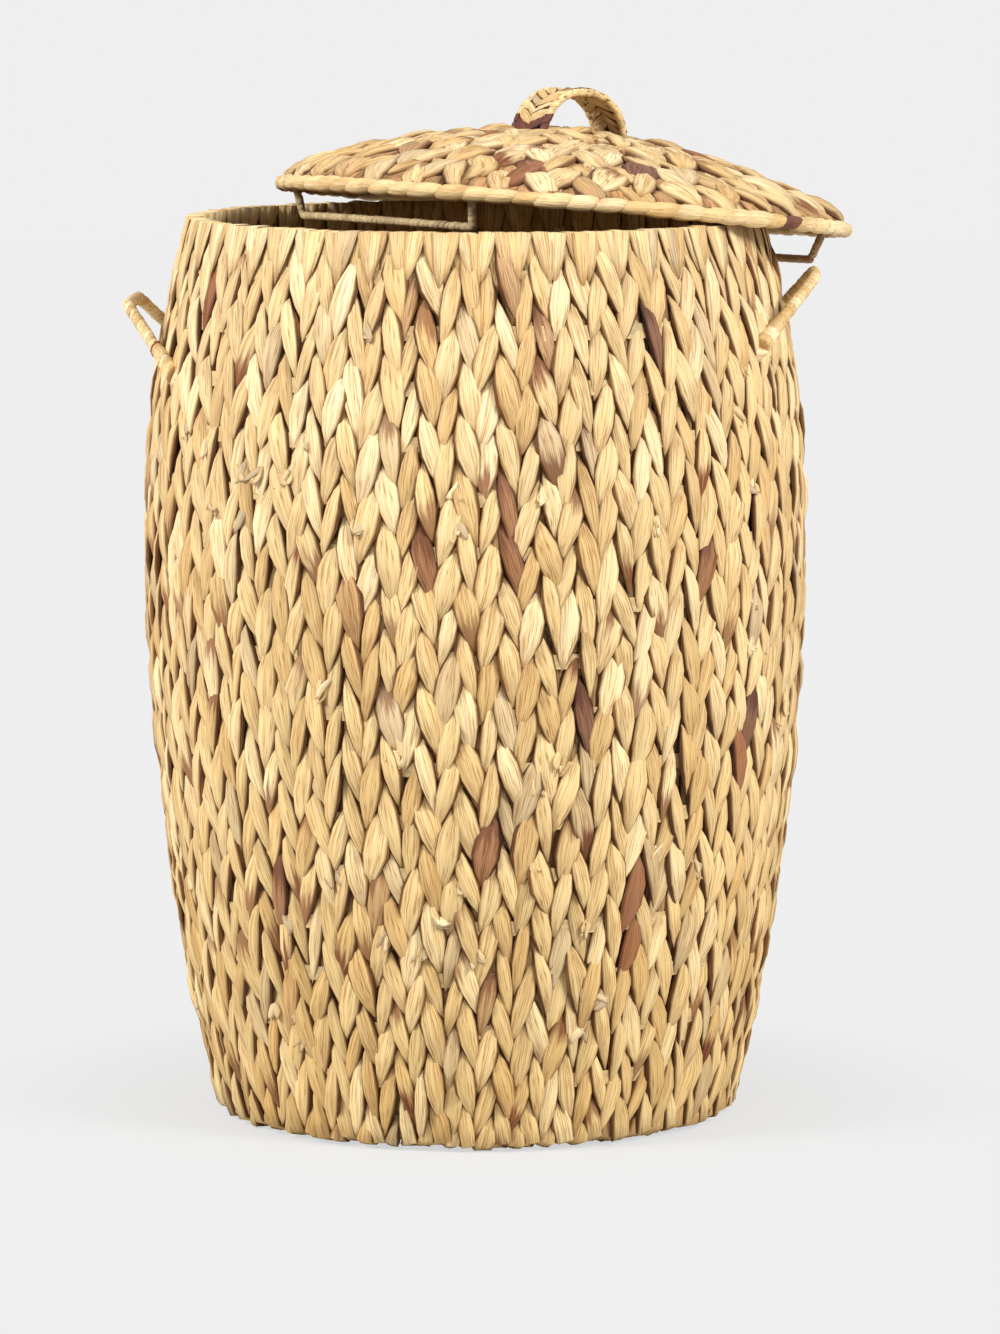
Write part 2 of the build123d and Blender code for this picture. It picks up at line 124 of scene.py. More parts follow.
class BasketSizes(bpy.types.PropertyGroup):
    """Sizes of the barrel and of the stems that are woven round it."""

    body_height: length("Height", "Floor to the top of the rim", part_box("rim_wrap")[1][2])
    belly_radius: length("Belly radius", "Widest radius of the barrel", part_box("outer_weave")[1][0])
    belly_height: length("Belly height", "Level of the widest part", 0.372)
    lower_arc: length("Lower side arc", "Radius of the side's curve below the belly", 1.590)
    upper_arc: length("Upper side arc", "Radius of the side's curve above the belly", 0.685)
    base_rounding: length("Base rounding", "Radius of the edge between side and base", 0.010)
    wall_thickness: length("Wall thickness", "Outer face to inner face of the wall", 0.0139)
    vee_count: count("Vees round the wall", "Pairs of leaning stems round the barrel", 53)
    row_pitch: length("Row pitch", "Distance between rows of stems", 0.033)
    first_row: length("First row below the ring", "Rim ring down to the middles of the first row", 0.024)
    # painted light: the inside's stems are coloured lighter than the wall's, standing in for more light
    # inside the barrel
    painted_lining_light: number("Lining light", "Brightness of the inside's stems as a share of the wall's", 1.18)
    stagger: number("Stagger", "Shift of every second stem, as a share of the row pitch", 0.40)
    lean: angle("Lean", "Lean of the stems to left and right", 11)
    stem_half_length: length("Stem half length", "Half the seen length of a stem", 0.0280)
    stem_width: number("Stem width", "Width of a stem as a share of its place round the wall", 1.42)
    stem_thickness: length("Stem thickness", "Height of a stem's rounded back", 0.0044)
    frayed_count: count("Frayed ends", "Places where cut ends stick out of the wall", 110)
    rim_loop_reach: length("Rim loop reach", "Half the length of the loops over the rim", 0.040)
    left_handle_below_rim: length("Left handle below rim", "Rim down to the left handle's plane", 0.078)
    right_handle_below_rim: length("Right handle below rim", "Rim down to the right handle's plane", 0.060)
    handle_slope: angle("Handle slope", "Slope of a side handle above the horizontal", 50)
    handle_reach: length("Handle reach", "Wall to the middle of a side handle's bar", 0.027)
    handle_bar: length("Handle bar", "Length of a side handle's bar between its corners", 0.066)
    handle_splay: angle("Handle splay", "Spread of a side handle's legs", 44)
    handle_corner: length("Handle corner", "Bend of a side handle's corners", 0.014)
    handle_wrap: length("Handle wrap radius", "Radius over the strip wound on a side handle", 0.0039)
    binding_radius: length("Binding radius", "Radius over the bindings at a handle's feet", 0.0060)
    binding_length: length("Binding length", "Length of the bindings at a handle's feet", 0.021)


class LidSizes(bpy.types.PropertyGroup):
    """Sizes of the lid, about the middle of its hoop."""

    rise: length("Rise", "Crown above the plane of the lid's hoop", 0.0485)
    edge_height: length("Edge height", "Dome above the plane of the hoop, over the hoop", 0.008)
    hollow_depth: length("Hollow depth", "Depth of the hollow underside", 0.018)
    bead_radius: length("Bead radius", "Radius of the binding round the lid's edge", 0.0047)
    bead_count: count("Beads", "Turns of the binding round the lid's edge", 68)
    row_pitch: length("Row pitch", "Distance between rings of stems on the lid", 0.0232)
    stem_pitch: length("Stem pitch", "Distance between stems round the lid", 0.0142)
    stem_half_length: length("Stem half length", "Half the seen length of a stem on the lid", 0.0212)
    stem_thickness: length("Stem thickness", "Height of a stem's rounded back on the lid", 0.0052)
    lean: angle("Lean", "Lean of the stems to left and right", 24)
    dullness: number("Dullness", "Brightness of the lid's stems as a share of the wall's", 0.92)
    handle_span: length("Handle span", "Distance between the feet of the lid's handle", 0.065)
    handle_rise: length("Handle rise", "Top of the handle above the crown", 0.030)
    handle_corner: length("Handle corner", "Bend of the lid handle's corners", 0.030)
    handle_splay: length("Handle splay", "How far the handle's feet spread outwards", 0.002)
    handle_sag: length("Handle sag", "How far the soft handle sinks below its full height", 0.0035)
    handle_width: length("Handle width", "Width of the plaited band between its edge wires", 0.023)
    handle_thickness: length("Handle thickness", "Thickness of the plaited band", 0.0045)
    handle_edge: length("Handle edge", "Diameter of the handle's wound edges", 0.005)
    bracket_half_angle: angle("Bracket half angle", "Half the arc of a bracket's bar", 30)
    bracket_wrap: length("Bracket wrap radius", "Radius over the strip wound on a bracket", 0.0025)


class FibreColours(bpy.types.PropertyGroup):
    """Colours of the dried stems, strips and wires."""

    straw: colour("Straw", "Most of the stems", (0.758, 0.566, 0.286))
    honey: colour("Honey", "Warmer stems", (0.662, 0.452, 0.200))
    cream: colour("Cream", "Bleached stems", (0.872, 0.698, 0.412))
    grey_beige: colour("Grey beige", "Dull stems", (0.588, 0.450, 0.268))
    # painted shade: a dark brown for the backing stems deep in the weave, standing in for the shade in the
    # gaps between the stems
    painted_shade: colour("Shade", "Stems deep in the weave", (0.300, 0.185, 0.080))
    tan: colour("Tan", "Browned stems", (0.480, 0.275, 0.122))
    russet: colour("Russet", "Red brown stems", (0.285, 0.106, 0.043))
    maroon: colour("Maroon", "The few darkest stems", (0.140, 0.040, 0.026))
    near_bracket: colour("Near bracket", "Strip wound on the near bracket", (0.56, 0.43, 0.24))
    far_bracket: colour("Far bracket", "Strip wound on the far bracket", (0.50, 0.31, 0.16))
    wire: colour("Wire", "Painted frame wire", (0.035, 0.022, 0.014))


class StageSizes(bpy.types.PropertyGroup):
    """Camera, lights and floor."""

    camera_distance: length("Camera distance", "Level distance from the basket's axis", 4.0)
    camera_height: length("Camera height", "Height above the floor", 0.795)
    camera_turn: angle("Camera turn", "Turn of the camera towards +X", 3)
    aim_height: length("Aim height", "Level of the middle of the picture at the axis", 0.2805)
    aim_right: length("Aim right", "Middle of the picture to the right of the axis", 0.0155)
    lens: number("Lens", "Focal length in millimetres", 171.2)
    background: number("Background", "Grey of the background", 0.863)
    floor_radius: length("Floor radius", "Radius of the floor disc", 9.0)
    left_power: number("Left light", "Power in watts", 138.0)
    right_power: number("Right light", "Power in watts", 138.0)
    lamp_width: length("Lamp width", "Side of each square light", 1.0)
    lamp_aim: length("Lamp aim", "Level on the axis that both lights point at", 0.32)
    sky: number("Sky", "Strength of the even light from all round", 0.40)


def sizes():
    return bpy.context.scene.basket_sizes


def lid_sizes():
    return bpy.context.scene.basket_lid_sizes


def colours():
    return bpy.context.scene.basket_colours


class Wall:
    """The barrel's surface, followed from under the base, up outside, over the rim and down inside."""

    def __init__(self):
        size = sizes()
        self.size = size
        self.tube = size.wall_thickness / 2
        self.ring_level = size.body_height - self.tube
        self.over = math.pi * self.tube
        self.rim_radius = self.side(self.ring_level - self.tube)
        self.corner = self.side(size.base_rounding) - size.base_rounding

    def side(self, level):
        """Outer radius at a level."""
        size = self.size
        arc = size.lower_arc if level <= size.belly_height else size.upper_arc
        return size.belly_radius - arc + math.sqrt(arc**2 - (level - size.belly_height) ** 2)

    def at(self, run):
        """Radius, level and outward direction on the wall, run being the level on the outer side."""
        rounding, step = self.size.base_rounding, 0.001
        if run < rounding:
            bend = (rounding - run) / rounding
            if bend < math.pi / 2:
                out, down = math.cos(bend), math.sin(bend)
                return self.corner + rounding * out, rounding - rounding * down, out, -down
            return self.corner - rounding * (bend - math.pi / 2), 0.0, 0.0, -1.0
        if run <= self.ring_level:
            slope = (self.side(run + step) - self.side(run - step)) / (2 * step)
            steep = math.hypot(1, slope)
            return self.side(run), run, 1 / steep, -slope / steep
        past = run - self.ring_level
        if past < self.over:
            out, up = math.cos(past / self.tube), math.sin(past / self.tube)
            middle = self.side(self.ring_level) - self.tube
            return middle + self.tube * out, self.ring_level + self.tube * up, out, up
        level = self.ring_level - (past - self.over)
        return self.side(level) - 2 * self.tube, level, -1.0, 0.0

    def place(self, turn, run, point):
        """A point that lies across, along and out from a place on the wall."""
        across, along, out = point
        radius, level, out_share, up_share = self.at(run + along)
        turn = turn + across / self.at(run)[0]
        radius += out * out_share
        level = max(level + out * up_share, WALL_FLOOR_GAP)
        return Vector((radius * math.cos(turn), radius * math.sin(turn), level))


class Lid:
    """The lid's place and faces, from the hoop in its edge."""

    def __init__(self):
        self.size = lid_sizes()
        hoop = numpy.array([v.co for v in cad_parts["lid_rim_hoop"].data.vertices])
        middle = hoop.mean(axis=0)
        self.up = Vector(numpy.linalg.svd(hoop - middle, full_matrices=False)[2][2])
        if self.up.z < 0:
            self.up.negate()
        self.middle = Vector(middle)
        shift = Vector((middle[0], middle[1], 0))
        self.along = (shift - self.up * shift.dot(self.up)).normalized()
        self.side = self.up.cross(self.along)
        spread = numpy.linalg.norm(hoop - middle, axis=1)
        self.ring = float(spread.max() + spread.min()) / 2
        drop = self.size.rise - self.size.edge_height
        self.dome_arc = (self.ring**2 + drop**2) / (2 * drop)
        self.edge = self.ring - LID_EDGE_INSET
        self.hollow_arc = (self.edge**2 + self.size.hollow_depth**2) / (2 * self.size.hollow_depth)

    def dome(self, radius):
        """Height of the dome's outer face over the plane of the hoop."""
        return self.size.rise - self.dome_arc + math.sqrt(self.dome_arc**2 - radius**2)

    def hollow(self, radius):
        """Height of the hollow underside over the plane of the hoop."""
        return self.size.hollow_depth - self.hollow_arc + math.sqrt(self.hollow_arc**2 - radius**2)

    def point(self, x, y, z):
        """A point of the lid's own frame, x being the way that the lid has slid."""
        return self.middle + self.along * x + self.side * y + self.up * z

    def spots(self, node):
        """Radius and height, in the lid's own frame, of a CAD node's points."""
        found = []
        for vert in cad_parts[node].data.vertices:
            off = vert.co - self.middle
            height = off.dot(self.up)
            found.append(((off - self.up * height).length, height))
        return numpy.array(found)

    def place_on_top(self, turn, run, point):
        """A point that lies across, along and out from a place on the dome, along being outwards."""
        across, along, out = point
        radius = run + along
        turn -= across / max(run, SMALLEST_RING)
        seat = min(radius, self.ring)
        tip = out / self.dome_arc
        height = self.dome(seat) + out - min(max(0.0, radius - self.edge), LID_TIP_DROP)
        radius = seat * (1 + tip)
        return self.point(radius * math.cos(turn), radius * math.sin(turn), height)

    def place_under(self, turn, run, point):
        """A point that lies across, along and out from a place on the hollow underside."""
        across, along, out = point
        radius = run + along
        turn += across / max(run, SMALLEST_RING)
        seat = min(abs(radius), self.edge)
        return self.point(radius * math.cos(turn), radius * math.sin(turn), self.hollow(seat) - out)


def place_flat(level, way):
    """A place function for a round mat at a level, seen from above (1) or from below (-1)."""

    def place(turn, run, point):
        across, along, out = point
        radius = run + along
        turn = turn - way * across / max(run, SMALLEST_RING)
        return Vector((radius * math.cos(turn), radius * math.sin(turn), level + way * out))

    return place


def spindle(name):
    """A closed spindle with its tips on Y and its rounded back on +Z, in a mesh that is copied."""
    sides, rings, taper, fullness, back, square = FORMS[name]
    bm = new_weave()
    grain = bm.loops.layers.uv[GRAIN_MAP]
    bmesh.ops.create_uvsphere(bm, u_segments=sides, v_segments=rings, radius=1)
    for face in bm.faces:
        middle = face.calc_center_median()
        middle_turn = math.atan2(middle.x, middle.y) / (2 * math.pi)
        for loop in face.loops:
            co = loop.vert.co
            turn = math.atan2(co.x, co.y) / (2 * math.pi) if abs(co.z) < 0.999 else middle_turn
            turn -= round(turn - middle_turn)
            loop[grain].uv = (turn + 0.5, co.z / 2 + 0.5)
    for vert in bm.verts:
        x, z, y = vert.co.x, vert.co.y, vert.co.z
        ring = math.sqrt(max(1 - y * y, 0.0)) or 1.0
        full = max(1 - abs(y) ** taper, 0.0) ** fullness
        rise = abs(z / ring) ** square
        vert.co = (full * x / ring, y, full * rise * (1 if z > 0 else -back))
    mesh = bpy.data.meshes.new(name)
    bmesh.ops.recalc_face_normals(bm, faces=bm.faces)
    bm.to_mesh(mesh)
    bm.free()
    return mesh


class Stem:
    """One flattened stem: its size, its lean and how deep its two ends dive."""

    def __init__(self, rng, half_width, half_length, thick, lean, foot, head, proud=0.0, rough=1.0, tip=0.0):
        self.half_width = half_width * rng.uniform(1 - 0.26 * rough, 1 + 0.2 * rough)
        self.half_length = half_length * rng.uniform(1 - 0.1 * rough, 1 + 0.12 * rough)
        self.thick = thick * rng.uniform(0.8, 1.15)
        lean += math.radians(rng.gauss(0, 3.4 * rough))
        self.lean_cos, self.lean_sin = math.cos(lean), math.sin(lean)
        self.crest = proud - self.thick + rng.gauss(0, 0.0005 * rough)
        self.foot, self.head = foot, head
        self.bow = rng.gauss(0, 0.0011 * rough)
        self.twist = tip + rng.gauss(0, 0.0007 * rough)
        self.groove = rng.choice((0, 0, 0.15, 0.35, 0.5)) * rough
        self.skew = rng.uniform(-0.25, 0.25) * rough

    def point(self, co):
        """Across, along and out of one point of the spindle."""
        tip = co.y
        across = self.half_width * co.x * (1 + self.skew * tip) + self.bow * (1 - tip * tip)
        along = self.half_length * tip
        dive = self.foot if tip < 0 else self.head
        out = self.crest + (dive - self.crest) * abs(tip) ** 3
        crease = 1 - self.groove * max(0.0, 1 - 2.2 * abs(co.x)) if co.z > 0 else 1
        out += self.thick * co.z * crease + self.twist * co.x
        return (
            across * self.lean_cos + along * self.lean_sin,
            along * self.lean_cos - across * self.lean_sin,
            out,
        )


def new_weave():
    """An empty mesh with the layers that the fibre materials read."""
    bm = bmesh.new()
    bm.loops.layers.uv.new(GRAIN_MAP)
    bm.verts.layers.float_color.new(FIBRE_COLOUR)
    return bm


def lay(bm, mesh, move, tint):
    """Adds a copy of a spindle to bm, with each point moved and the whole in one colour."""
    first_vert, first_face = len(bm.verts), len(bm.faces)
    bm.from_mesh(mesh)
    bm.verts.ensure_lookup_table()
    bm.faces.ensure_lookup_table()
    paint = bm.verts.layers.float_color[FIBRE_COLOUR]
    grain = bm.loops.layers.uv[GRAIN_MAP]
    for vert in bm.verts[first_vert:]:
        vert.co = move(vert.co)
        vert[paint] = tint
    for face in bm.faces[first_face:]:
        face.smooth = True
        for loop in face.loops:
            loop[grain].uv.y += first_vert % GRAIN_SHIFTS


def lay_stem(bm, form, place, turn, run, stem, tint):
    """Lays a stem on a surface, at a turn and a run of its place function."""
    lay(bm, form, lambda co: place(turn, run, stem.point(co)), tint)


def turn_of(rng, number_round, total, uneven):
    """The turn of one of the places round a ring, a little out of step."""
    return 2 * math.pi * (number_round + rng.gauss(0, uneven)) / total


def finish_piece(bm, name, body, material, slot, *nodes):
    """Makes the bmesh a piece that rides on a body and stands for its CAD nodes."""
    bmesh.ops.recalc_face_normals(bm, faces=bm.faces)
    mesh = bpy.data.meshes.new(name)
    bm.to_mesh(mesh)
    bm.free()
    mesh.materials.append(bpy.data.materials[material])
    piece = bpy.data.objects.new(name, mesh)
    bpy.context.scene.collection.objects.link(piece)
    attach(piece, body)
    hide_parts(*nodes)
    return piece


def pick_tint(rng, dark=1.0):
    """A stem's own colour, mostly straw, and how far one of its ends is browned."""
    tone = colours()
    shares = (
        (tone.straw, 0.52), (tone.honey, 0.24), (tone.cream, 0.16), (tone.grey_beige, 0.05),
        (tone.tan, 0.02 * dark), (tone.russet, 0.008 * dark), (tone.maroon, 0.004 * dark),
    )
    number_picked = rng.choices(range(len(shares)), weights=[share for _, share in shares])[0]
    picked = shares[number_picked][0]
    other = rng.choice((tone.straw, tone.cream, tone.honey))
    red = number_picked > 4
    blend = rng.uniform(0, 0.4) * (0.25 if red else 1)
    light = rng.uniform(0.92, 1.06)
    browning = rng.uniform(0.65, 1.0) if rng.random() < 0.10 * dark else rng.uniform(0, 0.22)
    browning *= rng.choice((-1, 1))
    return tuple(min(1.0, light * (a + (b - a) * blend)) for a, b in zip(picked, other)) + (browning,)


def lit(tint, share):
    """A tint with its colour made lighter or darker and its browning kept."""
    return tuple(min(1.0, share * c) for c in tint[:3]) + tint[3:]


def tint_of(rng, tone, spread=0.08):
    """One colour with a little spread in its lightness."""
    light = rng.uniform(1 - spread, 1 + spread)
    return tuple(min(1.0, light * c) for c in tone) + (rng.uniform(0, 0.25),)


def rounded_path(corners, bend, steps=6):
    """Points along a line of corners, each inner corner rounded to an arc."""
    path = [corners[0]]
    for before, corner, after in zip(corners, corners[1:], corners[2:]):
        back, on = (before - corner).normalized(), (after - corner).normalized()
        half = back.angle(on) / 2
        middle = corner + (back + on).normalized() * (bend / math.sin(half))
        start = corner + back * (bend / math.tan(half)) - middle
        end = corner + on * (bend / math.tan(half)) - middle
        start, end = start.normalized(), end.normalized()
        path += [middle + start.slerp(end, step / steps) * bend for step in range(steps + 1)]
    return path + [corners[-1]]


def walk(path, pitch):
    """Even steps along a path: each point with the direction of the path there."""
    places, left = [], pitch / 2
    for start, end in zip(path, path[1:]):
        span = (end - start).length
        while left <= span:
            places.append((start.lerp(end, left / span), (end - start).normalized()))
            left += pitch
        left -= span
    return places


def wind(bm, form, places, half_width, radius, slant, paint, rng, flat=None):
    """Winds a strip round a path as slanted turns, one at each place."""
    for number_along, (point, way) in enumerate(places):
        side = way.orthogonal().normalized() if flat is None else flat
        front = way.cross(side).normalized()
        side = front.cross(way).normalized()
        wide = half_width * rng.uniform(0.9, 1.2)
        thick = radius(number_along) if callable(radius) else radius
        thick *= rng.uniform(0.94, 1.06)
        lift = slant * rng.uniform(0.6, 1.4)

        def move(co):
            along = wide * co.y + lift * thick * co.x
            return point + way * along + side * (thick * co.x) + front * (thick * co.z)

        lay(bm, form, move, paint(number_along))


def feed(tree, socket, value):
    """Links a node's socket to another socket, or sets it to a plain value."""
    if isinstance(value, bpy.types.NodeSocket):
        tree.links.new(value, socket)
    else:
        socket.default_value = value


def add_node(tree, kind, place, **values):
    """A shader node with some of its settings and inputs set or linked."""
    node = tree.nodes.new(kind)
    node.location = place
    for key, value in values.items():
        if key in node.inputs:
            feed(tree, node.inputs[key], value)
        else:
            setattr(node, key, value)
    return node


def new_material(name):
    """The node tree and the shader of a new material, which is set to a dry matt surface."""
    material = bpy.data.materials.new(name)
    material.use_nodes = True
    shader = material.node_tree.nodes["Principled BSDF"]
    shader.inputs["Specular IOR Level"].default_value = 0.3
    return material.node_tree, shader


def grey_range(tree, source, low, high, to_low, to_high, place):
    """Maps a grey value from one range to another, clamped."""
    node = add_node(tree, "ShaderNodeMapRange", place)
    for socket, value in zip(node.inputs, (source, low, high, to_low, to_high)):
        feed(tree, socket, value)
    return node.outputs[0]


def maths(tree, operation, first, second, place, use_clamp=False):
    """Works out one value from two, each a socket or a value."""
    node = add_node(tree, "ShaderNodeMath", place, operation=operation, use_clamp=use_clamp)
    for socket, value in zip(node.inputs, (first, second)):
        feed(tree, socket, value)
    return node.outputs[0]


def away_from(tree, value, middle, x, y):
    """How far a value is from a middle one, by two nodes that start at x, y."""
    return maths(tree, "ABSOLUTE", maths(tree, "SUBTRACT", value, middle, (x, y)), 0, (x + 160, y))


def mix_colours(tree, blend, factor, first, second, place):
    """Blends two colours, each a socket or a value."""
    node = add_node(tree, "ShaderNodeMix", place, data_type="RGBA", blend_type=blend)
    for socket, value in ((node.inputs[0], factor), (node.inputs[6], first), (node.inputs[7], second)):
        feed(tree, socket, value)
    return node.outputs[2]


def mix_surfaces(tree, factor, first, second, out_kind):
    """Ends a tree with two surfaces, mixed by a factor."""
    both = add_node(tree, "ShaderNodeMixShader", (-120, 0))
    for socket, value in zip(both.inputs, (factor, first, second)):
        feed(tree, socket, value)
    add_node(tree, out_kind, (100, 0), Surface=both.outputs[0])


def make_fibre(name, streak, seam_shade_band, sides, ends, bump, roughness):
    """Dried stem: its own colour, thin lengthwise lines, broad streaks and browned ends, with painted shade
    along its edges and at its tips.
    """
    tree, shader = new_material(name)
    uv = add_node(tree, "ShaderNodeUVMap", (-1700, 0), uv_map=GRAIN_MAP).outputs[0]
    split = add_node(tree, "ShaderNodeSeparateXYZ", (-1500, -800), Vector=uv)
    own = add_node(tree, "ShaderNodeAttribute", (-900, 520), attribute_name=FIBRE_COLOUR)
    own_colour, browning = own.outputs["Color"], own.outputs["Alpha"]

    def grain(across, along, detail, x, y):
        stretched = add_node(tree, "ShaderNodeMapping", (x - 200, y), Vector=uv, Scale=(across, along, 1))
        noise = add_node(
            tree, "ShaderNodeTexNoise", (x, y), Vector=stretched.outputs[0], Scale=1.0, Detail=detail,
            Roughness=0.62,
        )
        return noise.outputs["Fac"]

    fine = grain(24, 0.8, 2, -1000, 150)
    broad = grain(13, 1.2, 3, -1000, -100)
    lines = grey_range(tree, away_from(tree, fine, 0.5, -1000, 330), 0.004, 0.042, streak, 0.0, (-760, 150))
    streaks = grey_range(tree, broad, 0.46, 0.70, 0.0, 0.75, (-760, -100))
    # painted shade: a near-black band along each stem's edges, where it meets its neighbours and the seams
    # lie in shade
    from_crest = away_from(tree, split.outputs[0], 0.5, -1300, -700)
    edge = grey_range(tree, from_crest, *seam_shade_band, 0.0, sides, (-760, -700))
    along = maths(tree, "FRACT", split.outputs[1], 0, (-1300, -900))
    from_middle = away_from(tree, along, 0.5, -1140, -900)
    # painted shade: each stem darkens towards its tips, where they dive under the neighbouring stems
    tips = grey_range(tree, from_middle, 0.33, 0.48, 0.0, ends, (-760, -900))
    at_foot = maths(tree, "LESS_THAN", browning, 0.0, (-1300, -1080))
    to_end = away_from(tree, along, at_foot, -1140, -1080)
    reached = maths(tree, "ADD", to_end, broad, (-900, -1260))
    browned = grey_range(tree, reached, 1.02, 1.20, 0.0, 1.0, (-760, -1080))
    amount = maths(tree, "ABSOLUTE", browning, 0, (-760, -1260))
    browned = maths(tree, "MULTIPLY", browned, amount, (-560, -1080))

    body = own_colour
    # The streaks, browned ends and fine lines are the stem's own colour; the edge band and the darkened tips
    # are painted shade.
    stains = (
        (streaks, (0.84, 0.73, 0.56)), (browned, (0.22, 0.075, 0.055)), (edge, (0.13, 0.065, 0.03)),
        (tips, (0.42, 0.27, 0.15)), (lines, (0.42, 0.26, 0.13)),
    )
    for step, (share, stain) in enumerate(stains):
        below, after = (-560, 360 - 200 * step), (160 * step - 380, 400 - 20 * step)
        stained = mix_colours(tree, "MULTIPLY", 1.0, own_colour, (*stain, 1), below)
        body = mix_colours(tree, "MIX", share, body, stained, after)
    feed(tree, shader.inputs["Base Color"], body)

    dry = grey_range(tree, broad, 0.3, 0.7, roughness - 0.08, roughness + 0.12, (100, -60))
    feed(tree, shader.inputs["Roughness"], dry)
    height = maths(tree, "ADD", fine, broad, (-100, -260))
    relief = add_node(tree, "ShaderNodeBump", (100, -260), Strength=bump, Distance=0.0012, Height=height)
    feed(tree, shader.inputs["Normal"], relief.outputs[0])


def make_solid(name, tone, dull, scale, roughness, metallic, bump):
    """A finish for the frame's own solids: one colour, mottled on Object coordinates."""
    tree, shader = new_material(name)
    where = add_node(tree, "ShaderNodeTexCoord", (-1000, 0)).outputs["Object"]
    stretched = add_node(tree, "ShaderNodeMapping", (-820, 0), Vector=where, Scale=scale)
    noise = add_node(
        tree, "ShaderNodeTexNoise", (-620, 0), Vector=stretched.outputs[0], Scale=1.0, Detail=4.0,
        Roughness=0.6,
    )
    mottle = noise.outputs["Fac"]
    tone_share = grey_range(tree, mottle, 0.35, 0.65, 0.0, 1.0, (-420, 120))
    body = mix_colours(tree, "MIX", tone_share, (*dull, 1), (*tone, 1), (-220, 120))
    feed(tree, shader.inputs["Base Color"], body)
    worn = grey_range(tree, mottle, 0.3, 0.7, roughness + 0.1, roughness - 0.08, (-220, -60))
    feed(tree, shader.inputs["Roughness"], worn)
    relief = add_node(tree, "ShaderNodeBump", (-220, -260), Strength=bump, Distance=0.0006, Height=mottle)
    feed(tree, shader.inputs["Normal"], relief.outputs[0])
    shader.inputs["Metallic"].default_value = metallic


class BASKET_OT_finishes(bpy.types.Operator):
    """Makes the fibre, strip and wire finishes and puts them on the frame's own solids"""

    bl_idname = "basket.finishes"
    bl_label = "Finishes"

    def execute(self, context):
        tone = colours()
        # The seam range, sides and ends set the painted shade along the stems' edges and at their tips;
        # wound strips get it only towards the ends of their turns, as painted shade in the creases.
        make_fibre(
            FIBRE, streak=0.8, seam_shade_band=(0.115, 0.170), sides=1.0, ends=0.6, bump=0.6, roughness=0.62,
        )
        make_fibre(
            LID_FIBRE, streak=0.8, seam_shade_band=(0.125, 0.205), sides=1.0, ends=0.8, bump=0.6, roughness=0.62,
        )
        make_fibre(
            WOUND_FIBRE, streak=0.5, seam_shade_band=(0.2, 0.4), sides=0.0, ends=0.8, bump=0.45, roughness=0.58,
        )
        make_solid(
            STRIP, tone.honey, dull=tuple(0.55 * c for c in tone.straw), scale=(40, 40, 420),
            roughness=0.66, metallic=0.0, bump=0.4,
        )
        make_solid(
            WIRE, tone.wire, dull=tuple(1.7 * c for c in tone.wire), scale=(160, 160, 160),
            roughness=0.42, metallic=0.55, bump=0.15,
        )
        for name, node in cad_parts.items():
            material = STRIP if "band" in name and "handle" not in name else WIRE
            node.data.materials.clear()
            node.data.materials.append(bpy.data.materials[material])
        return {"FINISHED"}


class BASKET_OT_outer_weave(bpy.types.Operator):
    """Weaves the outside of the barrel in rows of stems that lean left and right"""

    bl_idname = "basket.outer_weave"
    bl_label = "Outer weave"

    def execute(self, context):
        size, wall, tone = sizes(), Wall(), colours()
        form, behind = spindle("stem_form"), spindle("backing_form")
        rng = random.Random(11)
        columns = 2 * size.vee_count
        top = wall.ring_level - size.first_row
        rows = int((top + size.base_rounding) / size.row_pitch) + 2
        for row in range(rows):
            bm = new_weave()
            golden = row / rows
            for column in range(columns):
                side = 1 if column % 2 else -1
                drop = size.stagger if side > 0 else 0
                run = top - (row + drop) * size.row_pitch + rng.gauss(0, 0.0016)
                turn = turn_of(rng, column, columns, 0.07)
                place_width = 2 * math.pi * wall.at(run)[0] / columns
                stem = Stem(
                    rng, half_width=size.stem_width * place_width / 2, half_length=size.stem_half_length,
                    thick=size.stem_thickness, lean=side * size.lean, foot=-0.0043, head=-0.0068,
                    proud=rng.uniform(-0.0006, 0.0012), tip=side * 0.0008,
                )
                tint = pick_tint(rng)
                tint = (tint[0], tint[1] * (1 - 0.04 * golden), tint[2] * (1 - 0.18 * golden), tint[3])
                if (row, column) in MARKED_STEMS:
                    marked = tint_of(rng, getattr(tone, MARKED_STEMS[row, column]), 0.1)
                    tint = tuple(0.86 * a + 0.14 * b for a, b in zip(marked[:3], tint[:3])) + (0.7,)
                lay_stem(bm, form, wall.place, turn, run, stem, tint)
                # A thin backing stem lies behind each stem, coloured dark brown as painted shade in the gaps
                # of the weave.
                turn += math.pi / columns
                run -= size.row_pitch / 2
                stem = Stem(
                    rng, half_width=0.62 * place_width, half_length=0.85 * size.stem_half_length,
                    thick=0.0026, lean=0, foot=-0.0068, head=-0.0068, proud=-0.0042,
                )
                lay_stem(bm, behind, wall.place, turn, run, stem, tint_of(rng, tone.painted_shade, 0.3))
            finish_piece(bm, f"wall_row_{row + 1:02d}", "basket", FIBRE, "outer_weave", "outer_weave")
        return {"FINISHED"}


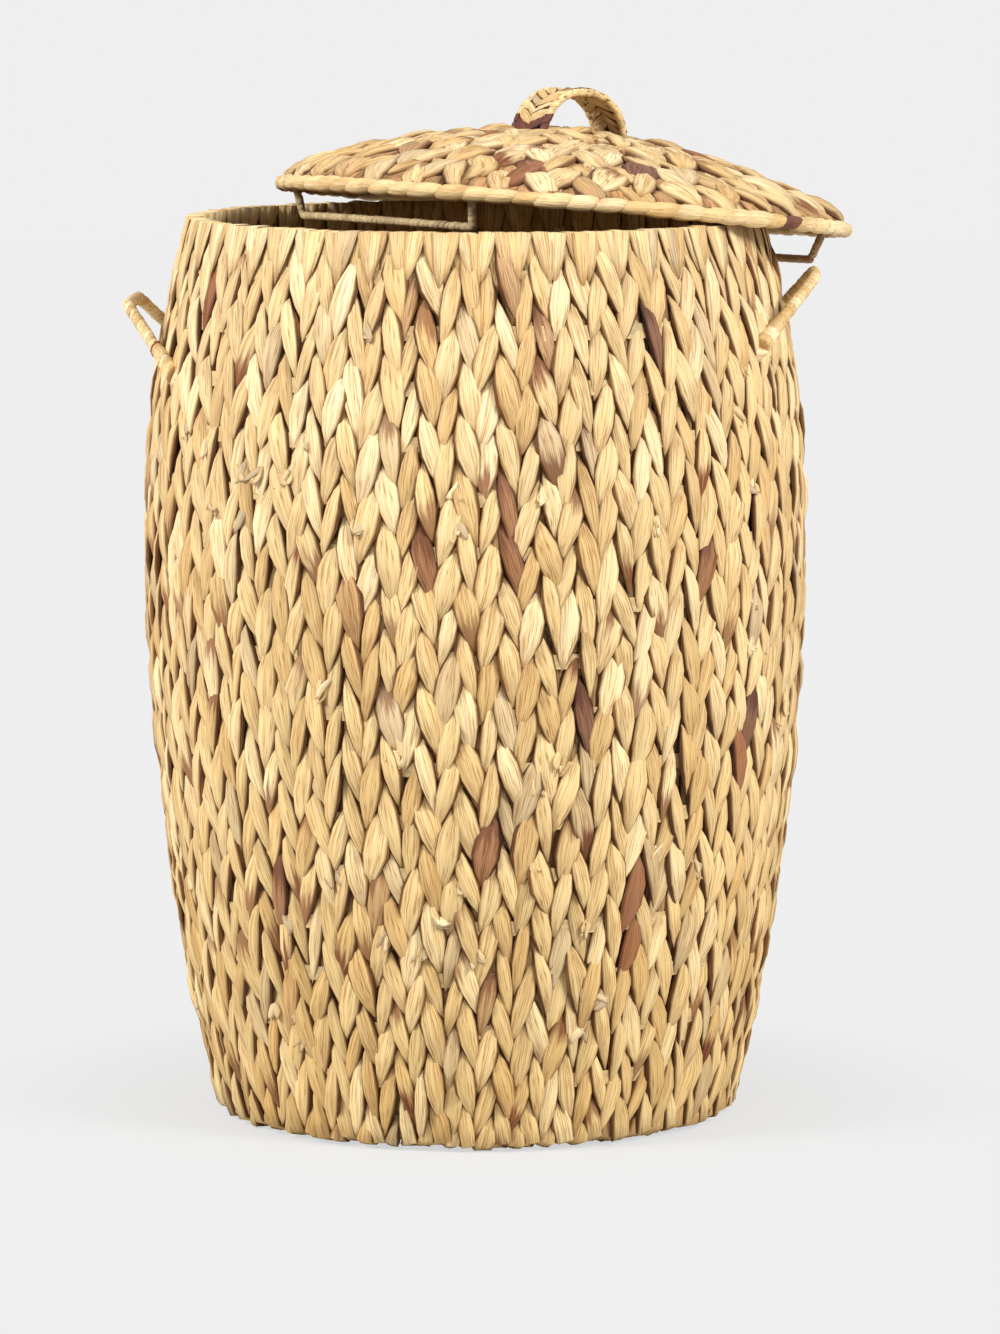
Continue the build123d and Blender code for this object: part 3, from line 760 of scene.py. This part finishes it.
class BASKET_OT_frayed_ends(bpy.types.Operator):
    """Lets cut stem ends stick out of the weave here and there"""

    bl_idname = "basket.frayed_ends"
    bl_label = "Frayed ends"

    def execute(self, context):
        size, wall, tone, form = sizes(), Wall(), colours(), spindle("backing_form")
        rng = random.Random(23)
        columns = 2 * size.vee_count
        bm = new_weave()
        for _ in range(size.frayed_count):
            column = rng.randrange(columns)
            turn = 2 * math.pi * (column + 0.5) / columns
            run = rng.uniform(0.06, wall.ring_level - 0.05)
            for _ in range(rng.choice((2, 3, 3))):
                stem = Stem(
                    rng, half_width=0.0027, half_length=rng.uniform(0.006, 0.0095), thick=0.0014,
                    lean=math.radians(rng.uniform(-60, 60)), foot=rng.uniform(-0.0005, 0.0018),
                    head=-0.006, proud=-0.001, rough=1.6,
                )
                tint = tint_of(rng, rng.choice((tone.cream, tone.straw, tone.grey_beige)), 0.1)
                spot = turn + rng.gauss(0, 0.006)
                lay_stem(bm, form, wall.place, spot, run, stem, tint)
        finish_piece(bm, "frayed_ends", "basket", WOUND_FIBRE, "outer_weave")
        return {"FINISHED"}


class BASKET_OT_rim(bpy.types.Operator):
    """Folds a loop of every stem over the wire of the rim"""

    bl_idname = "basket.rim"
    bl_label = "Rim"

    def execute(self, context):
        size, wall, tone, form = sizes(), Wall(), colours(), spindle("loop_form")
        rng = random.Random(31)
        crest = wall.ring_level + wall.over / 2
        width = math.pi * (wall.rim_radius - wall.tube) / size.vee_count
        bm = new_weave()
        for vee in range(size.vee_count):
            for strand in (-1, 1, 0):
                turn = math.pi * (2 * vee + 0.5 + 0.60 * strand + rng.gauss(0, 0.04)) / size.vee_count
                reach = size.rim_loop_reach * (1.0 if strand == 0 else 0.9) * rng.uniform(0.92, 1.06)
                inwards = strand * math.radians(7) if strand else rng.gauss(0, 0.02)
                stem = Stem(
                    rng, half_width=0.63 * width, half_length=reach, thick=0.0022, lean=0, foot=-0.0024,
                    head=-0.0024, proud=rng.uniform(-0.0003, 0.0005), rough=0.4,
                )

                def move(co):
                    across, along, out = stem.point(co)
                    return wall.place(turn, crest, (across - abs(along) * math.tan(inwards), along, out))

                lay(bm, form, move, pick_tint(rng, 0.4))
            for strand in (0, 1):
                turn = math.pi * (2 * vee + 0.5 + strand) / size.vee_count
                stem = Stem(
                    rng, half_width=0.8 * width, half_length=0.044, thick=0.003, lean=0, foot=-0.005,
                    head=-0.005, proud=-0.0022, rough=0.2,
                )
                lay_stem(bm, form, wall.place, turn, crest, stem, tint_of(rng, tone.honey, 0.1))
        finish_piece(bm, "rim_fold", "basket", LID_FIBRE, "rim_wrap", "rim_wrap")
        return {"FINISHED"}


class BASKET_OT_inner_weave(bpy.types.Operator):
    """Weaves the inside of the barrel in steeper, plainer stems"""

    bl_idname = "basket.inner_weave"
    bl_label = "Inner weave"

    def execute(self, context):
        size, wall, form = sizes(), Wall(), spindle("backing_form")
        rng = random.Random(43)
        columns = 2 * size.vee_count
        first_row, rows_in_piece = 0.028, 4
        start = wall.ring_level + wall.over + first_row
        deepest = wall.ring_level + wall.over + wall.ring_level - 0.038
        rows = int((wall.ring_level - first_row) / size.row_pitch) + 1
        for first in range(0, rows, rows_in_piece):
            bm = new_weave()
            for row in range(first, min(first + rows_in_piece, rows)):
                for column in range(columns):
                    side = 1 if column % 2 else -1
                    run = start + (row + (0.5 if side > 0 else 0)) * size.row_pitch + rng.gauss(0, 0.002)
                    run = min(run, deepest)
                    turn = turn_of(rng, column, columns, 0.08)
                    width = 2 * math.pi * wall.at(run)[0] / columns
                    stem = Stem(
                        rng, half_width=0.6 * width, half_length=0.027, thick=0.0032,
                        lean=side * math.radians(9), foot=-0.007, head=-0.004,
                        proud=rng.uniform(-0.0006, 0.0006),
                    )
                    # painted light: the lining's stems are made lighter than the wall's, standing in for
                    # light inside the barrel
                    tint = lit(pick_tint(rng), size.painted_lining_light)
                    lay_stem(bm, form, wall.place, turn, run, stem, tint)
            name = f"lining_rows_{first // rows_in_piece + 1}"
            finish_piece(bm, name, "basket", WOUND_FIBRE, "inner_weave", "inner_weave")
        return {"FINISHED"}


def weave_mat(bm, form, rng, place, outer, pitch, stem_pitch, half_length, thick, lean, foot, head):
    """Rings of leaning stems on a round mat, from its edge to its middle."""
    radius = outer - half_length * 0.8
    while radius > 0.008:
        stems = max(6, 2 * round(math.pi * radius / stem_pitch))
        for column in range(stems):
            side = 1 if column % 2 else -1
            run = radius - (0.36 * pitch if side > 0 and radius > pitch else 0) + rng.gauss(0, 0.0015)
            turn = turn_of(rng, column, stems, 0.1)
            stem = Stem(
                rng, half_width=1.5 * math.pi * radius / stems,
                half_length=min(half_length, 0.95 * radius + 0.004), thick=thick, lean=side * lean,
                foot=foot, head=head, proud=rng.uniform(-0.0005, 0.0012),
            )
            lay_stem(bm, form, place, turn, run, stem, pick_tint(rng))
        radius -= pitch


class BASKET_OT_base_mats(bpy.types.Operator):
    """Weaves the mat under the base and the floor inside the basket"""

    bl_idname = "basket.base_mats"
    bl_label = "Base and floor"

    def execute(self, context):
        form = spindle("backing_form")
        rng = random.Random(57)
        for name, node, way, slot in (
            ("base_mat_weave", "base_mat", -1, "outer_weave"),
            ("floor_mat_weave", "floor_mat", 1, "inner_weave"),
        ):
            low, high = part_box(node)
            level = high[2] if way > 0 else low[2]
            bm = new_weave()
            weave_mat(
                bm, form, rng, place_flat(level, way), outer=high[0] - 0.002, pitch=0.028,
                stem_pitch=0.0135, half_length=0.022, thick=0.0026, lean=math.radians(20), foot=-0.0016,
                head=-0.0026,
            )
            for vert in bm.verts:
                vert.co.z = max(vert.co.z, MAT_FLOOR_GAP)
            finish_piece(bm, name, "basket", FIBRE, slot, node)
        return {"FINISHED"}


class BASKET_OT_side_handles(bpy.types.Operator):
    """Winds both side handles with strip and binds their feet to the wall"""

    bl_idname = "basket.side_handles"
    bl_label = "Side handles"

    def execute(self, context):
        size, wall, tone, form = sizes(), Wall(), colours(), spindle("turn_form")
        rng = random.Random(61)
        half_bar = size.handle_bar / 2
        splay = math.tan(size.handle_splay)
        core_radius, tuck, binding_past_foot = 0.0013, 0.007, 0.003
        bar = Vector((0, 1, 0))
        strips = (tone.straw, tone.honey, tone.cream)
        for side, sign, drop in (
            ("left", -1, size.left_handle_below_rim), ("right", 1, size.right_handle_below_rim),
        ):
            height = size.body_height - drop
            root = Vector((sign * wall.side(height), 0, height))
            legs = Vector((sign * math.cos(size.handle_slope), 0, math.sin(size.handle_slope)))
            foot_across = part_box(f"{side}_handle_core")[1][1] - core_radius
            foot_travel = size.handle_reach - (foot_across - half_bar) / splay
            corners = [
                root + bar * across + legs * travel
                for across, travel in (
                    (-foot_across, foot_travel), (-half_bar, size.handle_reach),
                    (half_bar, size.handle_reach), (foot_across, foot_travel),
                )
            ]
            bm = new_weave()
            wind(
                bm, form, walk(rounded_path(corners, size.handle_corner), pitch=0.0038),
                half_width=0.0026, radius=size.handle_wrap, slant=0.45,
                paint=lambda n: tint_of(rng, rng.choice(strips), 0.1), rng=rng,
            )
            name = f"{side}_handle_winding"
            finish_piece(bm, name, "basket", WOUND_FIBRE, "handle_wrap", f"{side}_handle_wrap")
            for end, foot, knee in (("front", corners[0], corners[1]), ("rear", corners[3], corners[2])):
                way = (knee - foot).normalized()
                tucked = foot + Vector((-sign * tuck, 0, -tuck))
                path = [tucked, foot, foot + way * (size.binding_length + binding_past_foot)]
                places = walk(path, pitch=0.0043)
                last = len(places) - 1
                bm = new_weave()
                wind(
                    bm, form, places, half_width=0.0033,
                    radius=lambda n: size.binding_radius * (1.08 - 0.33 * n / last), slant=0.4,
                    paint=lambda n: tint_of(rng, rng.choice(strips), 0.12), rng=rng,
                )
                if side == "left":
                    dark_ring = [(places[last][0] + way * 0.0022, way)]
                    wind(
                        bm, form, dark_ring, half_width=0.0011, radius=0.8 * size.binding_radius,
                        slant=0.4, paint=lambda n: tint_of(rng, tone.russet, 0.1), rng=rng,
                    )
                name = f"{side}_{end}_foot_binding"
                finish_piece(bm, name, "basket", WOUND_FIBRE, "handle_wrap", f"{side}_{end}_binding")
        return {"FINISHED"}


class BASKET_OT_lid_weave(bpy.types.Operator):
    """Weaves the domed lid in rings of fat stems round a small rosette"""

    bl_idname = "basket.lid_weave"
    bl_label = "Lid weave"

    def execute(self, context):
        size, lid, tone = lid_sizes(), Lid(), colours()
        form, behind = spindle("lid_stem_form"), spindle("backing_form")
        rng = random.Random(71)
        dark = 2.6
        radius = lid.edge - 0.6 * size.stem_half_length
        row = 1
        while radius > 0.03:
            bm = new_weave()
            stems = 2 * round(math.pi * radius / size.stem_pitch)
            for column in range(stems):
                side = 1 if column % 2 else -1
                run = radius - (0.4 * size.row_pitch if side > 0 else 0) + rng.gauss(0, 0.002)
                turn = turn_of(rng, column, stems, 0.12)
                stem = Stem(
                    rng, half_width=1.62 * math.pi * run / stems, half_length=size.stem_half_length,
                    thick=size.stem_thickness, lean=side * size.lean, foot=-0.0062, head=-0.0040,
                    proud=rng.uniform(-0.0006, 0.0032), rough=1.2,
                )
                tint = lit(pick_tint(rng, dark), size.dullness)
                lay_stem(bm, form, lid.place_on_top, turn, run, stem, tint)
                turn += math.pi / stems
                run = radius + 0.3 * size.row_pitch
                stem = Stem(
                    rng, half_width=1.3 * math.pi * run / stems, half_length=0.6 * size.row_pitch,
                    thick=0.0026, lean=0, foot=-0.0052, head=-0.0052, proud=-0.0026, rough=0.5,
                )
                lay_stem(bm, behind, lid.place_on_top, turn, run, stem, tint_of(rng, tone.tan, 0.3))
            finish_piece(bm, f"lid_ring_{row}", "lid", LID_FIBRE, "outer_weave", "lid_outer_weave")
            radius -= size.row_pitch
            row += 1
        bm = new_weave()
        for run, stems, proud in ((0.022, 12, 0.0028), (0.009, 6, 0.0036)):
            for column in range(stems):
                turn = turn_of(rng, column, stems, 0.1)
                stem = Stem(
                    rng, half_width=1.5 * math.pi * run / stems, half_length=0.5 * run + 0.009,
                    thick=size.stem_thickness, lean=math.radians(18), foot=-0.006, head=-0.003, proud=proud,
                )
                tint = lit(pick_tint(rng, dark), size.dullness)
                lay_stem(bm, form, lid.place_on_top, turn, run, stem, tint)
        finish_piece(bm, "lid_rosette", "lid", LID_FIBRE, "outer_weave", "lid_crown")
        return {"FINISHED"}


class BASKET_OT_lid_edge(bpy.types.Operator):
    """Binds the lid's edge with thick turns of stem"""

    bl_idname = "basket.lid_edge"
    bl_label = "Lid edge"

    def execute(self, context):
        size, lid, form = lid_sizes(), Lid(), spindle("bead_form")
        rng = random.Random(83)
        pitch = 2 * math.pi / size.bead_count
        places = []
        for bead in range(size.bead_count):
            turn = pitch * (bead + rng.gauss(0, 0.08))
            point = lid.point(lid.ring * math.cos(turn), lid.ring * math.sin(turn), 0)
            way = lid.side * math.cos(turn) - lid.along * math.sin(turn)
            places.append((point, way))
        bm = new_weave()
        wind(
            bm, form, places, half_width=0.74 * pitch * lid.ring,
            radius=lambda n: size.bead_radius * rng.uniform(0.94, 1.14), slant=0.68,
            paint=lambda n: pick_tint(rng, 0.7), rng=rng, flat=lid.up,
        )
        finish_piece(bm, "lid_edge_binding", "lid", WOUND_FIBRE, "rim_wrap", "lid_rim_wrap")
        return {"FINISHED"}


class BASKET_OT_lid_lining(bpy.types.Operator):
    """Weaves the hollow underside of the lid"""

    bl_idname = "basket.lid_lining"
    bl_label = "Lid lining"

    def execute(self, context):
        size, lid, form = lid_sizes(), Lid(), spindle("backing_form")
        rng = random.Random(97)
        bm = new_weave()
        weave_mat(
            bm, form, rng, lid.place_under, outer=lid.edge - 0.003, pitch=size.row_pitch,
            stem_pitch=0.0138, half_length=0.023, thick=0.003, lean=math.radians(18), foot=-0.0028,
            head=-0.0052,
        )
        finish_piece(bm, "lid_lining", "lid", FIBRE, "inner_weave", "lid_inner_weave")
        return {"FINISHED"}


class BASKET_OT_lid_handle(bpy.types.Operator):
    """Plaits the band of the lid's handle and winds its two edges"""

    bl_idname = "basket.lid_handle"
    bl_label = "Lid handle"

    def execute(self, context):
        size, lid, tone, form = lid_sizes(), Lid(), colours(), spindle("stem_form")
        rng = random.Random(103)
        foot_half = size.handle_span / 2 + size.handle_splay
        top_half = size.handle_span / 2 - 4 * size.handle_splay
        foot = lid.dome(foot_half) - 0.001
        top = size.rise + size.handle_rise - size.handle_thickness / 2 - size.handle_sag

        def arch(side):
            corners = ((-foot_half, foot), (-top_half, top), (top_half, top), (foot_half, foot))
            return rounded_path([lid.point(x, side, z) for x, z in corners], size.handle_corner, 10)

        bm = new_weave()
        for number_along, (point, way) in enumerate(walk(arch(0), pitch=0.0062)):
            outwards = way.cross(lid.side).normalized()
            inner = lid.point(0, 0, foot) - point
            if outwards.dot(inner) > 0:
                outwards.negate()
            for face in (1, -1):
                for side in (1, -1):
                    stem = Stem(
                        rng, half_width=0.0046, half_length=0.0125, thick=0.0017,
                        lean=side * face * math.radians(58), foot=-0.0022, head=-0.0022, proud=0.0004,
                        rough=0.8,
                    )
                    dark = number_along == 0
                    tint = tint_of(rng, tone.maroon, 0.2) if dark else pick_tint(rng, 0.4)
                    middle = point + lid.side * (side * size.handle_width * 0.27)

                    def move(co):
                        across, along, out = stem.point(co)
                        lift = size.handle_thickness / 2 + out
                        return middle + lid.side * across * face + way * along + outwards * (face * lift)

                    lay(bm, form, move, tint)
        finish_piece(bm, "lid_handle_plait", "lid", FIBRE, "handle_wrap", "lid_handle_band")

        form = spindle("turn_form")
        edge_at = size.handle_width / 2 + size.handle_edge / 2
        for label, side in (("front", -1), ("rear", 1)):
            bm = new_weave()
            wind(
                bm, form, walk(arch(side * edge_at), pitch=0.0058), half_width=0.0038,
                radius=size.handle_edge / 2, slant=0.7,
                paint=lambda n: tint_of(rng, tone.maroon if n < 2 else tone.straw, 0.14), rng=rng,
            )
            name = f"lid_handle_{label}_edge"
            finish_piece(bm, name, "lid", WOUND_FIBRE, "handle_wrap", f"lid_handle_{label}_wire")
        return {"FINISHED"}


class BASKET_OT_lid_brackets(bpy.types.Operator):
    """Winds the two wire brackets under the lid"""

    bl_idname = "basket.lid_brackets"
    bl_label = "Lid brackets"

    def execute(self, context):
        size, lid, tone, form = lid_sizes(), Lid(), colours(), spindle("turn_form")
        rng = random.Random(113)
        leg_end, half_steps = 0.004, 12
        for label, middle, strip in (("far", 0.0, tone.far_bracket), ("near", math.pi, tone.near_bracket)):
            bar = lid.spots(f"lid_{label}_bracket_wrap").mean(axis=0)
            core = lid.spots(f"lid_{label}_bracket_core")
            leg = core[core[:, 1] > core[:, 1].max() - leg_end].mean(axis=0)

            def on_arc(share, radius, height):
                turn = middle + share * size.bracket_half_angle
                return lid.point(radius * math.cos(turn), radius * math.sin(turn), height)

            path = [on_arc(-1, *leg)]
            path += [on_arc(step / half_steps - 1, *bar) for step in range(2 * half_steps + 1)]
            path += [on_arc(1, *leg)]
            bm = new_weave()
            wind(
                bm, form, walk(path, pitch=0.0036), half_width=0.0025, radius=size.bracket_wrap, slant=0.5,
                paint=lambda n: tint_of(rng, strip, 0.22), rng=rng,
            )
            name = f"lid_{label}_bracket_winding"
            finish_piece(bm, name, "lid", WOUND_FIBRE, "handle_wrap", f"lid_{label}_bracket_wrap")
        return {"FINISHED"}


class BASKET_OT_stage(bpy.types.Operator):
    """Sets up the pale floor, the soft lights and the camera"""

    bl_idname = "basket.stage"
    bl_label = "Stage"

    def execute(self, context):
        scene, stage = context.scene, context.scene.basket_stage
        scene.view_settings.view_transform = "Standard"
        grey = (stage.background, stage.background, stage.background, 1)

        bm = bmesh.new()
        bmesh.ops.create_circle(bm, cap_ends=True, segments=96, radius=stage.floor_radius)
        mesh = bpy.data.meshes.new("floor")
        bm.to_mesh(mesh)
        bm.free()
        floor = bpy.data.objects.new("floor", mesh)
        scene.collection.objects.link(floor)
        material = bpy.data.materials.new("Pale floor")
        material.use_nodes = True
        mesh.materials.append(material)
        tree = material.node_tree
        tree.nodes.clear()
        where = add_node(tree, "ShaderNodeTexCoord", (-900, -200)).outputs["Object"]
        away = add_node(tree, "ShaderNodeVectorMath", (-720, -200), operation="LENGTH")
        feed(tree, away.inputs[0], where)
        fade = grey_range(tree, away.outputs["Value"], 0.16, 0.36, 0.72, 0.985, (-540, -200))
        seen = add_node(tree, "ShaderNodeLightPath", (-720, 200)).outputs
        shown = maths(tree, "MULTIPLY", seen["Is Camera Ray"], fade, (-340, 0))
        matt = add_node(tree, "ShaderNodeBsdfDiffuse", (-340, -250), Color=(0.55, 0.55, 0.55, 1))
        glow = add_node(tree, "ShaderNodeEmission", (-340, -400), Color=grey)
        mix_surfaces(tree, shown, matt.outputs[0], glow.outputs[0], "ShaderNodeOutputMaterial")

        world = bpy.data.worlds.new("Studio")
        scene.world = world
        world.use_nodes = True
        tree = world.node_tree
        tree.nodes.clear()
        seen = add_node(tree, "ShaderNodeLightPath", (-700, 200)).outputs
        shown = maths(tree, "ADD", seen["Is Camera Ray"], seen["Is Glossy Ray"], (-520, 200), True)
        shown = maths(tree, "ADD", shown, seen["Is Transmission Ray"], (-340, 200), True)
        sky = add_node(tree, "ShaderNodeBackground", (-340, 0), Color=(1, 1, 1, 1), Strength=stage.sky)
        backdrop = add_node(tree, "ShaderNodeBackground", (-340, -150), Color=grey, Strength=1.0)
        mix_surfaces(tree, shown, sky.outputs[0], backdrop.outputs[0], "ShaderNodeOutputWorld")

        target = Vector((0, 0, stage.lamp_aim))
        for name, place, power in (
            ("left_light", (-2.6, -1.6, 2.3), stage.left_power),
            ("right_light", (2.6, -1.7, 2.3), stage.right_power),
        ):
            light = bpy.data.lights.new(name, "AREA")
            light.energy, light.size = power, stage.lamp_width
            lamp = bpy.data.objects.new(name, light)
            lamp.location = place
            lamp.rotation_euler = (target - Vector(place)).to_track_quat("-Z", "Y").to_euler()
            scene.collection.objects.link(lamp)

        turn = stage.camera_turn
        right = Vector((math.cos(turn), math.sin(turn), 0))
        towards = Vector((-math.sin(turn), math.cos(turn), 0))
        place = -towards * stage.camera_distance + Vector((0, 0, stage.camera_height))
        aim = right * stage.aim_right + Vector((0, 0, stage.aim_height))
        data = bpy.data.cameras.new("camera")
        data.lens = stage.lens
        data.sensor_width = 36
        camera = bpy.data.objects.new("camera", data)
        camera.location = place
        camera.rotation_euler = (aim - place).to_track_quat("-Z", "Y").to_euler()
        scene.collection.objects.link(camera)
        scene.camera = camera
        return {"FINISHED"}


class BASKET_PT_sidebar(bpy.types.Panel):
    """Lists the basket's sizes and the operators that make it"""

    bl_idname = "BASKET_PT_sidebar"
    bl_label = "Woven basket"
    bl_space_type = "VIEW_3D"
    bl_region_type = "UI"
    bl_category = "Basket"

    def draw(self, context):
        for operator in OPERATORS:
            self.layout.operator(operator.bl_idname)
        for group in GROUPS:
            holder = getattr(context.scene, group)
            box = self.layout.box()
            for key in holder.__annotations__:
                box.prop(holder, key)


OPERATORS = (
    BASKET_OT_stage,
    BASKET_OT_finishes,
    BASKET_OT_outer_weave,
    BASKET_OT_frayed_ends,
    BASKET_OT_rim,
    BASKET_OT_inner_weave,
    BASKET_OT_base_mats,
    BASKET_OT_side_handles,
    BASKET_OT_lid_weave,
    BASKET_OT_lid_edge,
    BASKET_OT_lid_lining,
    BASKET_OT_lid_handle,
    BASKET_OT_lid_brackets,
)

GROUPS = {
    "basket_sizes": BasketSizes,
    "basket_lid_sizes": LidSizes,
    "basket_colours": FibreColours,
    "basket_stage": StageSizes,
}


def register():
    for made in (*GROUPS.values(), *OPERATORS, BASKET_PT_sidebar):
        bpy.utils.register_class(made)
    for name, group in GROUPS.items():
        setattr(bpy.types.Scene, name, PointerProperty(type=group))


def unregister():
    for name in GROUPS:
        delattr(bpy.types.Scene, name)
    for made in (BASKET_PT_sidebar, *reversed(OPERATORS), *reversed(GROUPS.values())):
        bpy.utils.unregister_class(made)


def main():
    register()
    bpy.ops.basket.stage()
    bpy.ops.basket.finishes()
    bpy.ops.basket.outer_weave()
    bpy.ops.basket.frayed_ends()
    bpy.ops.basket.rim()
    bpy.ops.basket.inner_weave()
    bpy.ops.basket.base_mats()
    bpy.ops.basket.side_handles()
    bpy.ops.basket.lid_weave()
    bpy.ops.basket.lid_edge()
    bpy.ops.basket.lid_lining()
    bpy.ops.basket.lid_handle()
    bpy.ops.basket.lid_brackets()


if __name__ == "__main__":
    main()
